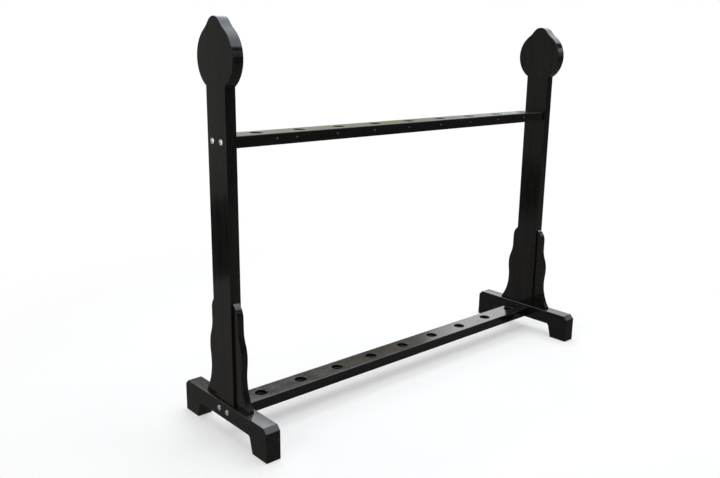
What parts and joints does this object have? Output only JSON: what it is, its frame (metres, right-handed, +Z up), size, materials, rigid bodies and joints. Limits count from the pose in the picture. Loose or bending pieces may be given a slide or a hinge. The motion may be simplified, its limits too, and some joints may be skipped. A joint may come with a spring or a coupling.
{
  "type": "pole weapon rack",
  "caption": "Floor-standing wooden rack for staffs and pole weapons: posts with bud-shaped finials on bridge feet, joined by drilled rails.",
  "frame": {"origin": "on the floor, midway between the two feet and midway between front and rear", "axes": "+X along the rails towards the right post, +Y towards the rear, +Z up; the front is the side with the screw heads in the upper rail, facing -Y"},
  "size_m": [1.31, 0.393, 1.065],
  "materials": {
    "black_lacquer": "black semi-gloss lacquer over hardwood, faint grain showing through",
    "bright_steel": "bright nickel-plated steel, satin",
    "zinc_steel": "zinc-plated steel",
    "dark_screw": "steel, dulled by lacquer",
    "bare_beech": "bare beech dowel, fluted"
  },
  "bodies": {
    "root": {"left_post": "black_lacquer", "right_post": "black_lacquer", "left_foot": "black_lacquer", "right_foot": "black_lacquer", "upper_rail": "black_lacquer", "lower_rail": "black_lacquer", "left_front_bracket": "black_lacquer", "left_rear_bracket": "black_lacquer", "right_front_bracket": "black_lacquer", "right_rear_bracket": "black_lacquer", "left_upper_bolts": "bright_steel", "right_upper_bolts": "bright_steel", "left_foot_bolts": "bright_steel", "right_foot_bolts": "bright_steel", "left_upper_nuts": "zinc_steel", "right_upper_nuts": "zinc_steel", "left_lower_nuts": "zinc_steel", "right_lower_nuts": "zinc_steel", "left_front_dowels": "bare_beech", "left_rear_dowels": "bare_beech", "right_front_dowels": "bare_beech", "right_rear_dowels": "bare_beech", "upper_rail_screws": "dark_screw"}
  },
  "joints": []
}
